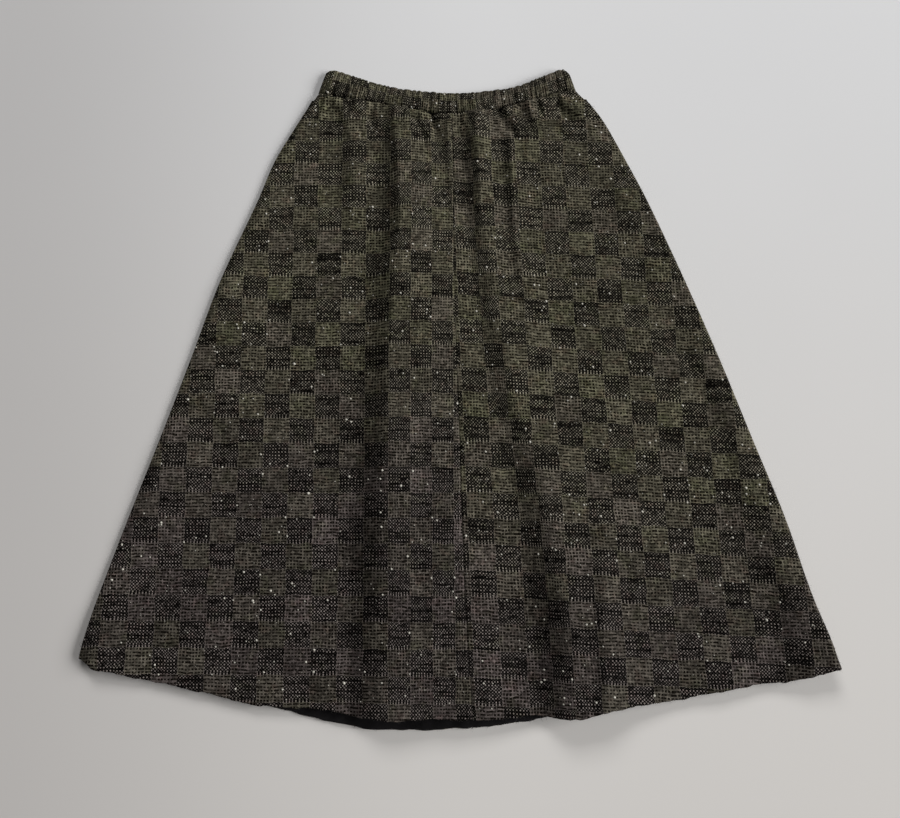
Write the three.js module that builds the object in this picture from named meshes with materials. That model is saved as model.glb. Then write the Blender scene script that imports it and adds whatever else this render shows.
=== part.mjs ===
// A flared midi skirt in checked tweed with a gathered, elasticated waist, lying flat on its back.
// Millimetres: X across the skirt, Y towards the waist, Z up from the surface that it lies on.
import * as THREE from "three";

const { smoothstep, lerp } = THREE.MathUtils;

// Driving sizes
const CLOTH = 2; // thickness of the tweed, with its nap
const SEAM_GAP = 0.3; // between pieces that are sewn together or lie on each other
const CASING = 4; // folded waist casing with the elastic in it
const FACING = 1; // smooth strip inside the back hem
const FACING_WIDTH = 42;
const FACING_EDGE = 2.5; // tweed that shows past the facing at the back hem
const FRONT_TOP = CLOTH + SEAM_GAP + CLOTH; // upper face of the front where it lies on the back

// The sides, from the waist to the hem: where the cloth turns over, and the radius of each turn
const SIDES = [
  { y: 395, left: -176, right: 152, leftTurn: 2.9, rightTurn: 3.6 },
  { y: 369, left: -183, right: 162, leftTurn: 2.9, rightTurn: 3.6 },
  { y: 336, left: -201, right: 184, leftTurn: 2.9, rightTurn: 3.8 },
  { y: 282, left: -230, right: 211, leftTurn: 2.9, rightTurn: 4 },
  { y: 228, left: -250, right: 236, leftTurn: 2.9, rightTurn: 4.3 },
  { y: 124, left: -292, right: 278, leftTurn: 2.9, rightTurn: 4.8 },
  { y: 23, left: -324, right: 316, leftTurn: 3, rightTurn: 5 },
  { y: -75, left: -356, right: 350, leftTurn: 3, rightTurn: 5.3 },
  { y: -170, left: -388, right: 383, leftTurn: 3.1, rightTurn: 5.8 },
  { y: -261, left: -417, right: 408, leftTurn: 3.2, rightTurn: 6.8 },
  { y: -306, left: -429, right: 423, leftTurn: 3.3, rightTurn: 7.2 },
  { y: -328, left: -433, right: 429, leftTurn: 3.4, rightTurn: 7.4 },
  { y: -342, left: -434, right: 434, leftTurn: 3.4, rightTurn: 7 },
];

const WAIST_SEAM = [
  { x: -188, y: 357 },
  { x: -183, y: 365 },
  { x: -176, y: 372.5 },
  { x: -148, y: 368 },
  { x: -107, y: 361 },
  { x: -58, y: 350.5 },
  { x: -10, y: 345.5 },
  { x: 28, y: 348.5 },
  { x: 66, y: 356 },
  { x: 111, y: 369 },
  { x: 140, y: 377 },
  { x: 149, y: 377 },
  { x: 155, y: 371 },
  { x: 166, y: 360 },
];

const WAIST_EDGE = [
  { x: -168, y: 403 },
  { x: -159, y: 406 },
  { x: -125, y: 395 },
  { x: -86, y: 383 },
  { x: -48, y: 377 },
  { x: 3, y: 374.5 },
  { x: 39, y: 377.5 },
  { x: 77, y: 384 },
  { x: 105, y: 396 },
  { x: 134, y: 407 },
  { x: 143, y: 401 },
];

const FRONT_HEM = [
  { x: -430, y: -327 },
  { x: -414, y: -338 },
  { x: -384, y: -344 },
  { x: -292, y: -363 },
  { x: -224, y: -378 },
  { x: -160, y: -381.5 },
  { x: -106, y: -391 },
  { x: -76, y: -394 },
  { x: -43, y: -392 },
  { x: 42, y: -393 },
  { x: 78, y: -389 },
  { x: 133, y: -391.5 },
  { x: 181, y: -381 },
  { x: 227, y: -375 },
  { x: 341, y: -355 },
  { x: 388, y: -349 },
  { x: 434, y: -337 },
];

const BACK_HEM = [
  { x: -430, y: -325 },
  { x: -414, y: -335 },
  { x: -292, y: -360 },
  { x: -224, y: -377 },
  { x: -187, y: -387 },
  { x: -150, y: -395.5 },
  { x: -107, y: -404 },
  { x: -66, y: -406 },
  { x: -1, y: -404.5 },
  { x: 60, y: -399 },
  { x: 100, y: -391.5 },
  { x: 181, y: -378 },
  { x: 341, y: -352 },
  { x: 434, y: -334 },
];

const CENTRE_SEAM = [
  { y: 346, x: -7 },
  { y: 134, x: -5 },
  { y: 36, x: -2.5 },
  { y: -62, x: 1 },
  { y: -169, x: 4 },
  { y: -261, x: 7.5 },
  { y: -389, x: 15.5 },
];

// Each fold rises over its flank on the left to a crest, and falls away over its slope on the right.
// A lean above 1 makes the flank steepest at the crest, and one below 1 makes it steepest at the foot.
const LEFT_FOLD = [
  { y: 362, crest: -79, flank: 14, slope: 44, height: 3, lean: 1.3 },
  { y: 350, crest: -79, flank: 14, slope: 44, height: 5, lean: 1.3 },
  { y: 321, crest: -78, flank: 15, slope: 50, height: 8.4, lean: 1.3 },
  { y: 294, crest: -75, flank: 15, slope: 56, height: 9.8, lean: 1.3 },
  { y: 254, crest: -72, flank: 16, slope: 62, height: 10.8, lean: 1.3 },
  { y: 201, crest: -71, flank: 24, slope: 90, height: 12.4, lean: 1.6 },
  { y: 149, crest: -74, flank: 38, slope: 130, height: 14.4, lean: 1.8 },
  { y: 98, crest: -77, flank: 47, slope: 155, height: 15.4, lean: 1.8 },
  { y: 35, crest: -79, flank: 50, slope: 185, height: 15.8, lean: 1.7 },
  { y: -79, crest: -81, flank: 50, slope: 215, height: 15.6, lean: 1.4 },
  { y: -181, crest: -83, flank: 49, slope: 220, height: 14.8, lean: 1.1 },
  { y: -280, crest: -82, flank: 46, slope: 220, height: 14, lean: 0.85 },
  { y: -390, crest: -81, flank: 42, slope: 205, height: 13.6, lean: 0.7 },
];

const RIGHT_FOLD = [
  { y: 362, crest: 18, flank: 18, slope: 24, height: 3.6, lean: 1.1 },
  { y: 350, crest: 19, flank: 17, slope: 24, height: 6, lean: 1.1 },
  { y: 321, crest: 23, flank: 16, slope: 26, height: 8.6, lean: 1.1 },
  { y: 294, crest: 25, flank: 16, slope: 28, height: 9.4, lean: 1.1 },
  { y: 254, crest: 28, flank: 17, slope: 32, height: 9.2, lean: 1.1 },
  { y: 201, crest: 31, flank: 20, slope: 42, height: 8.8, lean: 1.1 },
  { y: 149, crest: 40, flank: 28, slope: 56, height: 8.8, lean: 1.1 },
  { y: 98, crest: 47, flank: 32, slope: 74, height: 9.2, lean: 1.1 },
  { y: 35, crest: 59, flank: 35, slope: 98, height: 9.8, lean: 1.1 },
  { y: -26, crest: 72, flank: 37, slope: 124, height: 10.6, lean: 1.1 },
  { y: -87, crest: 92, flank: 44, slope: 145, height: 11.8, lean: 1 },
  { y: -146, crest: 105, flank: 42, slope: 165, height: 13.8, lean: 0.95 },
  { y: -204, crest: 121, flank: 44, slope: 180, height: 15.6, lean: 0.9 },
  { y: -261, crest: 128, flank: 45, slope: 180, height: 17.2, lean: 0.85 },
  { y: -317, crest: 133, flank: 44, slope: 160, height: 18, lean: 0.8 },
  { y: -390, crest: 135, flank: 43, slope: 100, height: 17.6, lean: 0.75 },
];

const SIDE_SWELL = [
  { y: 350, crest: 120, flank: 40, slope: 40, height: 1, lean: 1 },
  { y: 189, crest: 168, flank: 70, slope: 60, height: 2.5, lean: 1 },
  { y: 11, crest: 226, flank: 90, slope: 70, height: 3, lean: 1 },
  { y: -192, crest: 286, flank: 100, slope: 80, height: 2.5, lean: 1 },
  { y: -390, crest: 318, flank: 100, slope: 80, height: 1.5, lean: 1 },
];

const RIM_FOLD = [
  { y: 350, crest: 166, flank: 56, slope: 12, height: 3, lean: 1.1 },
  { y: 328, crest: 172, flank: 50, slope: 14, height: 3.8, lean: 1.1 },
  { y: 294, crest: 190, flank: 30, slope: 18, height: 3.6, lean: 1.1 },
  { y: 254, crest: 203, flank: 30, slope: 24, height: 4, lean: 1.1 },
  { y: 201, crest: 222, flank: 32, slope: 28, height: 3.2, lean: 1.1 },
  { y: 149, crest: 242, flank: 34, slope: 30, height: 2.8, lean: 1.1 },
  { y: 98, crest: 264, flank: 34, slope: 30, height: 3, lean: 1.1 },
  { y: 35, crest: 301, flank: 36, slope: 30, height: 4.6, lean: 1.1 },
  { y: -73, crest: 338, flank: 36, slope: 30, height: 6, lean: 1.1 },
  { y: -126, crest: 354, flank: 40, slope: 30, height: 6.5, lean: 1.1 },
  { y: -226, crest: 381, flank: 44, slope: 30, height: 7, lean: 1.1 },
  { y: -300, crest: 396, flank: 44, slope: 30, height: 5, lean: 1.1 },
  { y: -390, crest: 404, flank: 44, slope: 30, height: 3, lean: 1.1 },
];

// How far in from each side the front comes down, or up, to the height of the turn there
const LEFT_RIM = 62;
const LEFT_SHOULDER = 0.6; // share of that stretch with the closer columns
const RIGHT_RIM = 24;

// The hem stands off the back, and its two corners stand off the surface.
const HEM_PUFF = 4;
const HEM_PUFF_REACH = 120;
const LEFT_LIFT = 1.6;
const RIGHT_LIFT = 7;
const CORNER_ACROSS = 90;
const CORNER_UP = 125;
const CORNER_LEVEL = -330;

// Gathers: small ridges under the waist seam, and the ruching of the casing above it
const GATHER_HEIGHT = 1.5;
const GATHER_REACH = 70;
const WAIST_PUFF = 1.6;
const WAIST_PUFF_REACH = 45;
const CASING_RIPPLES = 36;
const STEPS_PER_RIPPLE = 3;
const RIPPLE_HEIGHT = 0.9;
const CASING_LEFT = -177.5;
const CASING_RIGHT = 150.5;
const CASING_ROUND = 9; // how far in from the two ends the casing thins
const CASING_END = 0.3; // the share of its thickness that is left at an end
const VALLEY = -0.3; // depth between two ripples, as a share of a ripple's height

// Half of the casing is full thickness over its middle and thins towards its seam and its edge.
const CASING_SECTION = [
  { up: 0, full: 0.5 },
  { up: 0.12, full: 0.92 },
  { up: 0.34, full: 1 },
  { up: 0.66, full: 1 },
  { up: 0.88, full: 0.9 },
  { up: 1, full: 0.45 },
];

// The strip inside the back hem
const FACING_LEFT = -232;
const FACING_RIGHT = 128;

// The grids: rows from the waist to the hem, columns round the turn at a side, and columns over each
// stretch of the front and the back, from the middle outwards
const ROWS = 30;
const CLOSER_ENDS = 0.45; // how far the rows crowd towards the waist and the hem
const SIDE_COLUMNS = 4;
const LEFT_COLUMNS = { slope: 7, flank: 5, flat: 6, rim: 4 };
const RIGHT_COLUMNS = { start: 2, flank: 5, slope: 5, flat: 4, rimFlank: 4, rim: 3 };
const BACK_COLUMNS = { side: 6, middle: 12 };
const FACING_COLUMNS = 24;
const FACING_ROWS = 3;
const MEETING_STEPS = 24; // rounds taken to find where a column meets an edge

// A smooth curve through the rows of a table, as a function of one of its columns.
function through(rows, along, read) {
  const sorted = [...rows].sort((a, b) => a[along] - b[along]);
  const places = sorted.map((row) => row[along]);
  const values = sorted.map((row) => row[read]);
  const curve = new THREE.CubicInterpolant(places, values, 1, new Float64Array(1));
  return (at) => curve.evaluate(THREE.MathUtils.clamp(at, places[0], places.at(-1)))[0];
}

const leftSide = through(SIDES, "y", "left");
const rightSide = through(SIDES, "y", "right");
const leftTurn = through(SIDES, "y", "leftTurn");
const rightTurn = through(SIDES, "y", "rightTurn");
const waistSeam = through(WAIST_SEAM, "x", "y");
const waistEdge = through(WAIST_EDGE, "x", "y");
const frontHem = through(FRONT_HEM, "x", "y");
const backHem = through(BACK_HEM, "x", "y");
const centreSeam = through(CENTRE_SEAM, "y", "x");

function foldOf(table) {
  const fold = {};
  for (const column of ["crest", "flank", "slope", "height", "lean"])
    fold[column] = through(table, "y", column);
  fold.foot = (y) => fold.crest(y) - fold.flank(y);
  fold.end = (y) => fold.crest(y) + fold.slope(y);
  fold.rise = (x, y) => {
    const climbed = THREE.MathUtils.clamp((x - fold.foot(y)) / fold.flank(y), 0, 1);
    const fallen = THREE.MathUtils.clamp((x - fold.crest(y)) / fold.slope(y), 0, 1);
    const up = smoothstep(climbed ** fold.lean(y), 0, 1);
    const down = (fallen + smoothstep(fallen, 0, 1)) / 2;
    return fold.height(y) * (x < fold.crest(y) ? up : 1 - down);
  };
  return fold;
}

const leftFold = foldOf(LEFT_FOLD);
const rightFold = foldOf(RIGHT_FOLD);
const sideSwell = foldOf(SIDE_SWELL);
const rimFold = foldOf(RIM_FOLD);
const FOLDS = [leftFold, rightFold, sideSwell, rimFold];

// How far the two corners of the hem curl up off the surface.
function cornerLift(x, y) {
  const left = LEFT_LIFT * (1 - smoothstep(x - leftSide(y), 0, CORNER_ACROSS));
  const right = RIGHT_LIFT * (1 - smoothstep(rightSide(y) - x, 0, CORNER_ACROSS));
  const up = 1 - smoothstep(y, CORNER_LEVEL, CORNER_LEVEL + CORNER_UP);
  return (left + right) * up;
}

// Height of the front's upper face, away from the turn at its sides.
function frontField(x, y) {
  const hemPuff = HEM_PUFF * (1 - smoothstep(y - frontHem(x), 0, HEM_PUFF_REACH));
  const waistPuff = WAIST_PUFF * smoothstep(y, waistSeam(x) - WAIST_PUFF_REACH, waistSeam(x));
  const folds = FOLDS.reduce((sum, fold) => sum + fold.rise(x, y), 0);
  return FRONT_TOP + hemPuff + waistPuff + folds;
}

// A column is a line down the cloth: x at each level y, and how far it has gone round the side's turn.
// Lines between two feature lines share their space evenly.
function columnsBetween(from, to, count, start = 0) {
  return Array.from({ length: count + 1 - start }, (_, i) => {
    const share = (i + start) / count;
    return { x: (y) => lerp(from(y), to(y), share), round: 0 };
  });
}

// Each side of the skirt: its line, the radius of its turn, the way out and where the turn starts.
const LEFT = { line: leftSide, turn: leftTurn, outward: -1, start: (y) => leftSide(y) + leftTurn(y) };
const RIGHT = { line: rightSide, turn: rightTurn, outward: 1, start: (y) => rightSide(y) - rightTurn(y) };

function columnsRoundSide(side) {
  return Array.from({ length: SIDE_COLUMNS }, (_, i) => {
    const round = ((i + 1) / SIDE_COLUMNS) * (Math.PI / 2);
    const x = (y) => side.line(y) - side.outward * side.turn(y) * (1 - Math.sin(round));
    return { x, round };
  });
}

// The level where a column meets an edge that is given as y for each x.
function meets(column, edge) {
  let y = edge(column.x(0));
  for (let i = 0; i < MEETING_STEPS; i += 1) y = edge(column.x(y));
  return y;
}

// A closed wall between an outer and an inner grid of points, outer[row][column], with a rim all round.
// Seen from outside, rows run down the page and columns run to the right.
function closedWall(outer, inner) {
  const rows = outer.length;
  const columns = outer[0].length;
  const positions = [];
  for (const grid of [outer, inner])
    for (const row of grid) for (const p of row) positions.push(p.x, p.y, p.z);
  const at = (layer, r, c) => (layer * rows + r) * columns + c;
  const index = [];
  const quad = (a, b, c, d) => index.push(a, b, c, a, c, d);
  for (let r = 0; r < rows - 1; r += 1)
    for (let c = 0; c < columns - 1; c += 1) {
      quad(at(0, r, c), at(0, r + 1, c), at(0, r + 1, c + 1), at(0, r, c + 1));
      quad(at(1, r, c), at(1, r, c + 1), at(1, r + 1, c + 1), at(1, r + 1, c));
    }
  const end = rows - 1;
  const last = columns - 1;
  for (let c = 0; c < last; c += 1) {
    quad(at(0, 0, c), at(0, 0, c + 1), at(1, 0, c + 1), at(1, 0, c));
    quad(at(0, end, c + 1), at(0, end, c), at(1, end, c), at(1, end, c + 1));
  }
  for (let r = 0; r < end; r += 1) {
    quad(at(0, r + 1, 0), at(0, r, 0), at(1, r, 0), at(1, r + 1, 0));
    quad(at(0, r, last), at(0, r + 1, last), at(1, r + 1, last), at(1, r, last));
  }
  const geometry = new THREE.BufferGeometry();
  geometry.setAttribute("position", new THREE.Float32BufferAttribute(positions, 3));
  geometry.setIndex(index);
  geometry.computeVertexNormals();
  return geometry;
}

// The direction of a line of points at one of them; at an end it is carried on from the last two steps.
function direction(line, at) {
  const last = line.length - 1;
  const step = (from, to) => line[to].clone().sub(line[from]);
  if (at === 0) return step(0, 1).multiplyScalar(3).sub(step(1, 2));
  if (at === last) return step(last - 1, last).multiplyScalar(3).sub(step(last - 2, last - 1));
  return step(at - 1, at + 1);
}

// The grid moved along its own normals, into the cloth.
function movedIn(grid, thickness) {
  return grid.map((row, r) =>
    row.map((p, c) => {
      const right = direction(row, c);
      const down = direction(
        grid.map((line) => line[c]),
        r,
      );
      const outward = down.cross(right).normalize();
      return p.clone().addScaledVector(outward, -thickness);
    }),
  );
}

function flippedAcross(grid) {
  return grid.map((row) => [...row].reverse());
}

// Rows are closer together at the waist, where the gathers are, and at the hem.
function rowShare(row) {
  const even = row / ROWS;
  return lerp(even, smoothstep(even, 0, 1), CLOSER_ENDS);
}

// One half of the front. Its columns run from the centre seam out to the side.
function frontPanel(columns, side, rim) {
  return Array.from({ length: ROWS + 1 }, (_, row) =>
    columns.map((column, number) => {
      const top = meets(column, waistSeam) - SEAM_GAP;
      const hem = meets(column, frontHem);
      const y = lerp(top, hem, rowShare(row));
      const x = column.x(y);
      const radius = side.turn(y);
      const lift = cornerLift(x, y);
      if (column.round)
        return new THREE.Vector3(
          x,
          y,
          lift + radius * (1 + Math.cos(column.round)) + (SEAM_GAP / 2) * Math.sin(column.round),
        );
      const inward = side.outward * (side.line(y) - x);
      const turned = 1 - smoothstep(inward, radius, radius + rim);
      const field = frontField(x, y);
      const gather = number % 2 ? GATHER_HEIGHT * smoothstep(y, top - GATHER_REACH, top) : 0;
      return new THREE.Vector3(x, y, lift + lerp(field, 2 * radius, turned) + gather * (1 - turned));
    }),
  );
}

function frontLeft() {
  const start = (y) => centreSeam(y) - SEAM_GAP / 2;
  const shoulder = (y) => LEFT.start(y) + LEFT_RIM * LEFT_SHOULDER;
  const columns = [
    ...columnsBetween(start, leftFold.crest, LEFT_COLUMNS.slope),
    ...columnsBetween(leftFold.crest, leftFold.foot, LEFT_COLUMNS.flank, 1),
    ...columnsBetween(leftFold.foot, shoulder, LEFT_COLUMNS.flat, 1),
    ...columnsBetween(shoulder, LEFT.start, LEFT_COLUMNS.rim, 1),
    ...columnsRoundSide(LEFT),
  ];
  const outer = flippedAcross(frontPanel(columns, LEFT, LEFT_RIM));
  return closedWall(outer, movedIn(outer, CLOTH));
}

function frontRight() {
  const start = (y) => centreSeam(y) + SEAM_GAP / 2;
  const columns = [
    ...columnsBetween(start, rightFold.foot, RIGHT_COLUMNS.start),
    ...columnsBetween(rightFold.foot, rightFold.crest, RIGHT_COLUMNS.flank, 1),
    ...columnsBetween(rightFold.crest, rightFold.end, RIGHT_COLUMNS.slope, 1),
    ...columnsBetween(rightFold.end, rimFold.foot, RIGHT_COLUMNS.flat, 1),
    ...columnsBetween(rimFold.foot, rimFold.crest, RIGHT_COLUMNS.rimFlank, 1),
    ...columnsBetween(rimFold.crest, RIGHT.start, RIGHT_COLUMNS.rim, 1),
    ...columnsRoundSide(RIGHT),
  ];
  const outer = frontPanel(columns, RIGHT, RIGHT_RIM);
  return closedWall(outer, movedIn(outer, CLOTH));
}

// The back lies on the surface, with its face down, and turns up at both sides.
function back() {
  const leftInner = (y) => LEFT.start(y) + CORNER_ACROSS;
  const rightInner = (y) => RIGHT.start(y) - CORNER_ACROSS;
  const columns = [
    ...columnsRoundSide(LEFT).reverse(),
    ...columnsBetween(LEFT.start, leftInner, BACK_COLUMNS.side),
    ...columnsBetween(leftInner, rightInner, BACK_COLUMNS.middle, 1),
    ...columnsBetween(rightInner, RIGHT.start, BACK_COLUMNS.side, 1),
    ...columnsRoundSide(RIGHT),
  ];
  const facingDown = Array.from({ length: ROWS + 1 }, (_, row) =>
    columns.map((column) => {
      const top = meets(column, waistSeam) - SEAM_GAP;
      const hem = meets(column, backHem);
      const y = lerp(top, hem, rowShare(row));
      const x = column.x(y);
      const side = x < 0 ? LEFT : RIGHT;
      const turned = side.turn(y) * (1 - Math.cos(column.round));
      const gap = (SEAM_GAP / 2) * Math.sin(column.round);
      return new THREE.Vector3(x, y, cornerLift(x, y) + turned - gap);
    }),
  );
  const outer = flippedAcross(facingDown);
  return closedWall(outer, movedIn(outer, CLOTH));
}

// Half of the waist casing: ruched and rounded on its outer face, flat where the two halves meet.
function casing(upward) {
  const meeting = CASING + SEAM_GAP / 2 + (upward * SEAM_GAP) / 2;
  const steps = upward > 0 ? CASING_RIPPLES * STEPS_PER_RIPPLE : CASING_RIPPLES;
  const edgeLeft = WAIST_EDGE[0].x;
  const edgeRight = WAIST_EDGE.at(-1).x;
  const point = (station, step, level) => {
    const share = step / steps;
    const low = lerp(CASING_LEFT, CASING_RIGHT, share);
    const high = lerp(edgeLeft, edgeRight, share);
    const x = lerp(low, high, station.up);
    const y = lerp(waistSeam(low), waistEdge(high), station.up);
    return new THREE.Vector3(x, y, level(low));
  };
  const fullness = (station, low) => {
    const inward = Math.min(low - CASING_LEFT, CASING_RIGHT - low);
    return station.full * lerp(CASING_END, 1, smoothstep(inward, 0, CASING_ROUND));
  };
  const ripple = (step) =>
    upward > 0 ? RIPPLE_HEIGHT * (step % STEPS_PER_RIPPLE === 1 ? 1 : VALLEY) : 0;
  const stations = [...CASING_SECTION].reverse();
  const row = (station, outside) =>
    Array.from({ length: steps + 1 }, (_, step) =>
      point(station, step, (low) =>
        outside ? meeting + upward * fullness(station, low) * (CASING + ripple(step)) : meeting,
      ),
    );
  const outer = stations.map((station) => row(station, true));
  const inner = stations.map((station) => row(station, false));
  return upward > 0 ? closedWall(outer, inner) : closedWall(flippedAcross(outer), flippedAcross(inner));
}

// The strip inside the back hem, lying on the back panel under the front hem.
function hemFacing() {
  const level = CLOTH + SEAM_GAP;
  const grid = (z) =>
    Array.from({ length: FACING_ROWS + 1 }, (_, row) =>
      Array.from({ length: FACING_COLUMNS + 1 }, (_, column) => {
        const x = lerp(FACING_LEFT, FACING_RIGHT, column / FACING_COLUMNS);
        const low = backHem(x) + FACING_EDGE;
        return new THREE.Vector3(x, low + FACING_WIDTH * (1 - row / FACING_ROWS), z);
      }),
    );
  return closedWall(grid(level + FACING), grid(level));
}

const tweed = new THREE.MeshStandardMaterial({ color: 0x3a3935, roughness: 0.95, metalness: 0 });
const satin = new THREE.MeshStandardMaterial({ color: 0x0d0e12, roughness: 0.6, metalness: 0 });

function piece(name, geometry, material) {
  const mesh = new THREE.Mesh(geometry, material);
  mesh.name = name;
  return mesh;
}

const skirt = new THREE.Group();
skirt.name = "midi_skirt";
skirt.add(
  piece("front_panel_left", frontLeft(), tweed),
  piece("front_panel_right", frontRight(), tweed),
  piece("back_panel", back(), tweed),
  piece("waistband_front", casing(1), tweed),
  piece("waistband_back", casing(-1), tweed),
  piece("back_hem_facing", hemFacing(), satin),
);

// The origin is under the middle of the skirt's box, on the surface that it lies on.
const box = new THREE.Box3().setFromObject(skirt, true);
skirt.position.set(-(box.min.x + box.max.x) / 2, -(box.min.y + box.max.y) / 2, -box.min.z);

export default skirt;
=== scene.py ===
"""A checked tweed midi skirt lying flat: cloth shells, weave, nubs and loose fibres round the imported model.

Tables and sizes are in millimetres. Meshes are in metres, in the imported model's frame.
"""

import math
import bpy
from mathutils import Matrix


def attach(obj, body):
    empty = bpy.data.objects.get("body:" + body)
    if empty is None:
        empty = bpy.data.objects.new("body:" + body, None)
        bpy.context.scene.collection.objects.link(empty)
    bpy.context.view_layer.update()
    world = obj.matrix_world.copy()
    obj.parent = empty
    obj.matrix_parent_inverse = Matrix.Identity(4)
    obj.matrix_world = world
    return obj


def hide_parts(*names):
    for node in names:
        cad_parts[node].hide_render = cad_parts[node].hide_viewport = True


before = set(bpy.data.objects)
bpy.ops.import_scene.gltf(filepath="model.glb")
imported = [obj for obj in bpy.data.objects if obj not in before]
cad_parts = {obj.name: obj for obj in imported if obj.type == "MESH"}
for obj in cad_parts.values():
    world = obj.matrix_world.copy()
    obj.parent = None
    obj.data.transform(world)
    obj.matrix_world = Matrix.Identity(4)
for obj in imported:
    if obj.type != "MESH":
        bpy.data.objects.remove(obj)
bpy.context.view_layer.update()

from types import SimpleNamespace

import bpy
import numpy as np
from mathutils import Vector

MM = 0.001
TO_FRAME = np.array([0.3, -0.5, 0.0])  # from the tables' zero to the frame's, under the middle of the box

# ------------ driving sizes, as in the CAD source
CLOTH = 2.0
SEAM_GAP = 0.3
CASING = 4.0
FRONT_TOP = CLOTH + SEAM_GAP + CLOTH
STAND_OFF = 0.6  # between the front and the back where no fold lifts it

SHELL = 1.7  # thickness of one layer of tweed
HEM_ALLOWANCE = 36.0  # turned up inside the hem
HEM_THICK = 3.6  # both layers of the turned hem
LAYER_GAP = 0.12  # between two shells at a seam
THINNEST = 0.3  # what is left of the front's thickness at the bottom of its deepest creases
CHECK = 30.0  # one block of the check

SIDES = [  # y, left, right, and the radius of the turn at each
    (395, -176, 152, 1.9, 3.4),
    (369, -183, 162, 1.9, 3.4),
    (336, -201, 184, 1.9, 3.6),
    (282, -230, 211, 1.9, 3.8),
    (228, -250, 236, 1.9, 4.1),
    (124, -292, 278, 1.9, 4.6),
    (23, -324, 316, 1.9, 4.8),
    (-75, -356, 350, 1.9, 5.1),
    (-170, -388, 383, 1.9, 5.6),
    (-261, -417, 408, 2.2, 6.5),
    (-306, -429, 423, 2.8, 7.0),
    (-328, -433, 429, 2.9, 7.2),
    (-342, -434, 434, 2.9, 6.8),
]
WAIST_SEAM = [
    (-188, 357), (-183, 365), (-176, 372.5), (-148, 368), (-107, 361), (-58, 350.5), (-10, 345.5),
    (28, 348.5), (66, 356), (111, 369), (140, 377), (149, 377), (155, 371), (166, 360),
]
WAIST_EDGE = [
    (-168, 403), (-159, 406), (-125, 395), (-86, 383), (-48, 377), (3, 374.5),
    (39, 377.5), (77, 384), (105, 396), (134, 407), (143, 401),
]
FRONT_HEM = [
    (-430, -327), (-414, -338), (-384, -344), (-292, -363), (-224, -378), (-160, -381.5),
    (-106, -391), (-76, -394), (-43, -392), (42, -393), (78, -389), (133, -391.5),
    (181, -381), (227, -375), (341, -355), (388, -349), (434, -337),
]
BACK_HEM = [
    (-430, -325), (-414, -335), (-292, -360), (-224, -377), (-187, -387), (-150, -395.5),
    (-107, -404), (-66, -406), (-1, -404.5), (60, -399), (100, -391.5), (181, -378),
    (341, -352), (434, -334),
]
CENTRE_SEAM = [(346, -7), (134, -5), (36, -2.5), (-62, 1), (-169, 4), (-261, 7.5), (-389, 15.5)]

# Each fold rises over its flank on the left to a crest and falls away over its slope on the right. Its
# rows give y, crest, flank, slope, height and lean: above 1 the flank is steepest at the crest, below 1
# at its foot.
LEFT_FOLD = [
    (362, -79, 14, 44, 3.0, 1.3),
    (350, -79, 14, 44, 5.0, 1.3),
    (321, -78, 15, 50, 8.4, 1.3),
    (294, -75, 15, 56, 9.8, 1.3),
    (254, -72, 16, 62, 10.8, 1.3),
    (201, -71, 24, 90, 12.4, 1.6),
    (149, -74, 38, 130, 14.4, 1.8),
    (98, -77, 47, 155, 15.4, 1.8),
    (35, -79, 50, 185, 15.8, 1.7),
    (-79, -81, 50, 215, 15.6, 1.4),
    (-181, -83, 49, 220, 14.8, 1.1),
    (-280, -82, 46, 220, 14.0, 0.85),
    (-390, -81, 42, 205, 13.6, 0.7),
]
RIGHT_FOLD = [
    (362, 18, 18, 24, 3.6, 1.1),
    (350, 19, 17, 24, 6.0, 1.1),
    (321, 23, 16, 26, 8.6, 1.1),
    (294, 25, 16, 28, 9.4, 1.1),
    (254, 28, 17, 32, 9.2, 1.1),
    (201, 31, 20, 42, 8.8, 1.1),
    (149, 40, 28, 56, 8.8, 1.1),
    (98, 47, 32, 74, 9.2, 1.1),
    (35, 59, 35, 98, 9.8, 1.1),
    (-26, 72, 37, 124, 10.6, 1.1),
    (-87, 92, 44, 145, 11.8, 1.0),
    (-146, 105, 42, 165, 13.8, 0.95),
    (-204, 121, 44, 180, 15.6, 0.9),
    (-261, 128, 45, 180, 17.2, 0.85),
    (-317, 133, 44, 160, 18.0, 0.8),
    (-390, 135, 43, 100, 17.6, 0.75),
]
# Small folds: beside the centre seam, three under the casing, and one beside the right fold near the hem
SEAM_FOLD = [
    (350, -12, 12, 16, 1.6, 1.2),
    (321, -11, 12, 16, 3.2, 1.2),
    (260, -7, 13, 18, 3.4, 1.2),
    (201, -3, 14, 20, 2.2, 1.2),
    (150, -2, 15, 20, 0.0, 1.2),
]
THIN_FOLD = [
    (350, 62, 8, 18, 1.6, 1.2),
    (321, 66, 9, 20, 3.6, 1.2),
    (240, 68, 10, 28, 5.6, 1.2),
    (180, 72, 11, 32, 4.8, 1.2),
    (120, 79, 12, 32, 3.0, 1.2),
    (60, 86, 14, 32, 1.4, 1.2),
    (0, 92, 14, 32, 0.0, 1.2),
]
BAND_FOLD = [
    (362, 90, 12, 26, 1.6, 1.2),
    (328, 90, 13, 28, 4.2, 1.2),
    (294, 88, 11, 28, 3.4, 1.2),
    (254, 86, 10, 24, 0.0, 1.2),
]
TOP_FOLD = [
    (362, -128, 26, 20, 3.4, 1.2),
    (328, -130, 24, 24, 5.2, 1.2),
    (254, -131, 24, 28, 4.4, 1.2),
    (201, -133, 24, 34, 2.4, 1.2),
    (149, -138, 24, 34, 0.0, 1.2),
]
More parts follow.
